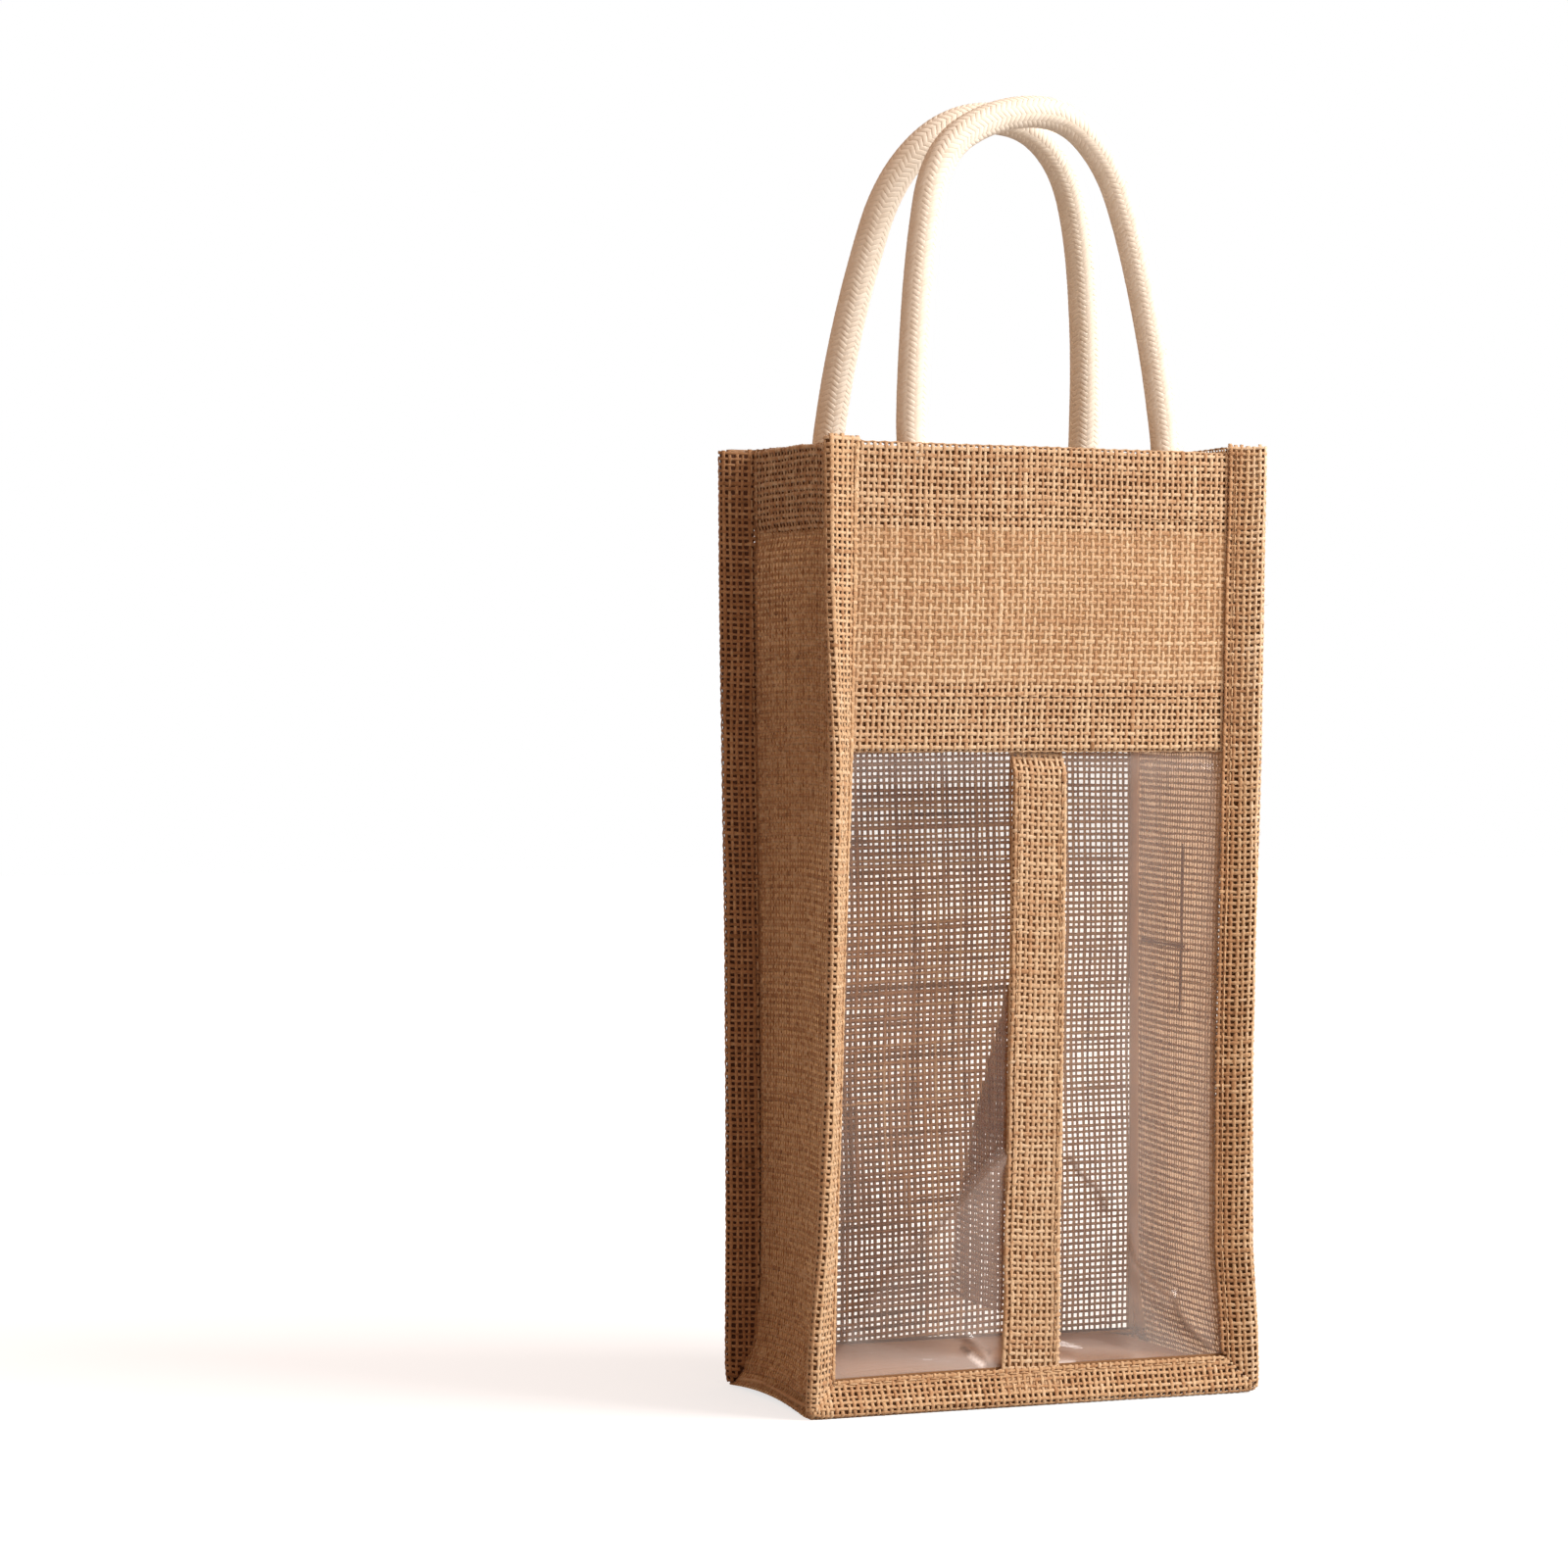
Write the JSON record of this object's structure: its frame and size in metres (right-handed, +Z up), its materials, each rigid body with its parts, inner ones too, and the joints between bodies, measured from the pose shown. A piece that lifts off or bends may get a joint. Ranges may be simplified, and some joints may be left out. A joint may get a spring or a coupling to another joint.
{
  "type": "bottle carrier",
  "caption": "Upright woven jute carrier bag for bottles, with bound seams, a clear film window split by a cloth strip, an inner divider and rope handles that swing at the rim.",
  "frame": {"origin": "centre of the bag's footprint, on the floor that its bottom seams stand on", "axes": "+Z up towards the handles, -Y the way the window faces, +X to the right as seen facing the window"},
  "size_m": [0.182, 0.0848, 0.4768],
  "materials": {
    "jute_cloth": "coarse plain weave",
    "binding_tape": "coarse plain weave",
    "clear_film": "clear soft film",
    "cotton_rope": "braided cotton",
    "thread": "sewing thread"
  },
  "bodies": {
    "bag": {"front_upper_panel": "jute_cloth", "window_film": "clear_film", "centre_strip": "jute_cloth", "back_panel": "jute_cloth", "gusset_band": "jute_cloth", "divider_web": "jute_cloth", "front_left_binding": "binding_tape", "front_right_binding": "binding_tape", "front_bottom_binding": "binding_tape", "back_left_binding": "binding_tape", "back_right_binding": "binding_tape", "back_bottom_binding": "binding_tape", "front_left_rope_tail": "cotton_rope", "front_right_rope_tail": "cotton_rope", "front_rope_stitches": "thread", "back_left_rope_tail": "cotton_rope", "back_right_rope_tail": "cotton_rope", "back_rope_stitches": "thread"},
    "front_handle": {"front_handle_rope": "cotton_rope"},
    "back_handle": {"back_handle_rope": "cotton_rope"}
  },
  "joints": [
    {"name": "front_handle_swing", "type": "hinge", "parent": "bag", "child": "front_handle", "pos_m": [0, -0.033, 0.3565], "axis": [1, 0, 0], "range_deg": [-10, 94], "stiffness_Nm_per_rad": 0.12},
    {"name": "back_handle_swing", "type": "hinge", "parent": "bag", "child": "back_handle", "pos_m": [0, 0.033, 0.3565], "axis": [-1, 0, 0], "range_deg": [-2, 102], "stiffness_Nm_per_rad": 0.12}
  ]
}
